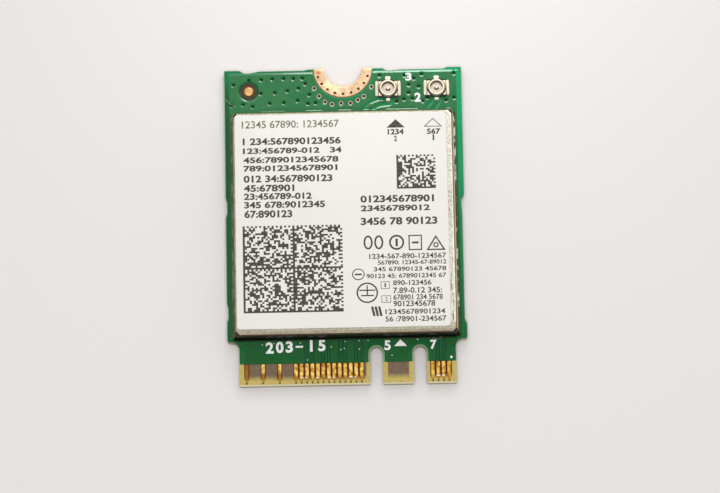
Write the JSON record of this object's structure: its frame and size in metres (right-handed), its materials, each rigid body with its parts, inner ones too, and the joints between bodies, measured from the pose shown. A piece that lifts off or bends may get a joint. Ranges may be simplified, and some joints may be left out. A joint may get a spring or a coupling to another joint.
{
  "type": "laptop wireless card",
  "caption": "Plug-in laptop wireless card: green board with edge fingers and keys, screw half-hole, labelled metal shield can and coax receptacles.",
  "frame": {"origin": "middle of the card's underside", "axes": "+X to the right seen from the tongue, -Y towards the edge fingers, +Y towards the screw half-hole, +Z out of the side with the shield can"},
  "size_m": [0.022, 0.03, 0.0023],
  "materials": {
    "green_solder_mask": "semi-gloss cured solder mask over glass epoxy",
    "bare_copper": "satin bare copper, a little tarnished",
    "nickel_silver_sheet": "satin pressed sheet with fine speckle",
    "white_label_paper": "matt coated paper with grey-brown print",
    "plated_contact_shell": "bright plated",
    "pale_moulded_base": "smooth moulded",
    "gold_plated_contact": "bright gold plating",
    "black_package_mould": "fine matt moulded epoxy",
    "grey_ceramic_tray": "matt fired",
    "plated_crystal_lid": "bright plated",
    "white_filter_ceramic": "matt fired",
    "grey_ferrite_block": "matt moulded ferrite",
    "tan_capacitor_ceramic": "fired, slightly glossy",
    "black_resistor_glaze": "glazed"
  },
  "bodies": {
    "root": {"circuit_board": "green_solder_mask", "mounting_land": "bare_copper", "shield_can": "nickel_silver_sheet", "label": "white_label_paper", "coax_main_base": "pale_moulded_base", "coax_main_shell": "plated_contact_shell", "coax_main_contact": "gold_plated_contact", "coax_aux_base": "pale_moulded_base", "coax_aux_shell": "plated_contact_shell", "coax_aux_contact": "gold_plated_contact", "crystal_base": "grey_ceramic_tray", "crystal_lid": "plated_crystal_lid", "wireless_processor": "black_package_mould", "front_end_module_low": "black_package_mould", "front_end_module_high": "black_package_mould", "antenna_switch": "black_package_mould", "voltage_regulator": "black_package_mould", "memory_chip": "black_package_mould", "diplexer_main": "white_filter_ceramic", "diplexer_aux": "white_filter_ceramic", "band_filter": "white_filter_ceramic", "balun_low": "white_filter_ceramic", "balun_high": "white_filter_ceramic", "power_inductor_core": "grey_ferrite_block", "power_inductor_radio": "grey_ferrite_block", "capacitor_01": "tan_capacitor_ceramic", "capacitor_02": "tan_capacitor_ceramic", "capacitor_03": "tan_capacitor_ceramic", "capacitor_04": "tan_capacitor_ceramic", "capacitor_05": "tan_capacitor_ceramic", "capacitor_06": "tan_capacitor_ceramic", "capacitor_07": "tan_capacitor_ceramic", "capacitor_08": "tan_capacitor_ceramic", "capacitor_09": "tan_capacitor_ceramic", "capacitor_10": "tan_capacitor_ceramic", "capacitor_11": "tan_capacitor_ceramic", "capacitor_12": "tan_capacitor_ceramic", "capacitor_13": "tan_capacitor_ceramic", "capacitor_14": "tan_capacitor_ceramic", "capacitor_15": "tan_capacitor_ceramic", "capacitor_16": "tan_capacitor_ceramic", "capacitor_17": "tan_capacitor_ceramic", "capacitor_18": "tan_capacitor_ceramic", "capacitor_19": "tan_capacitor_ceramic", "capacitor_20": "tan_capacitor_ceramic", "resistor_01": "black_resistor_glaze", "resistor_02": "black_resistor_glaze", "resistor_03": "black_resistor_glaze", "resistor_04": "black_resistor_glaze", "resistor_05": "black_resistor_glaze", "resistor_06": "black_resistor_glaze", "resistor_07": "black_resistor_glaze", "resistor_08": "black_resistor_glaze"}
  },
  "joints": []
}
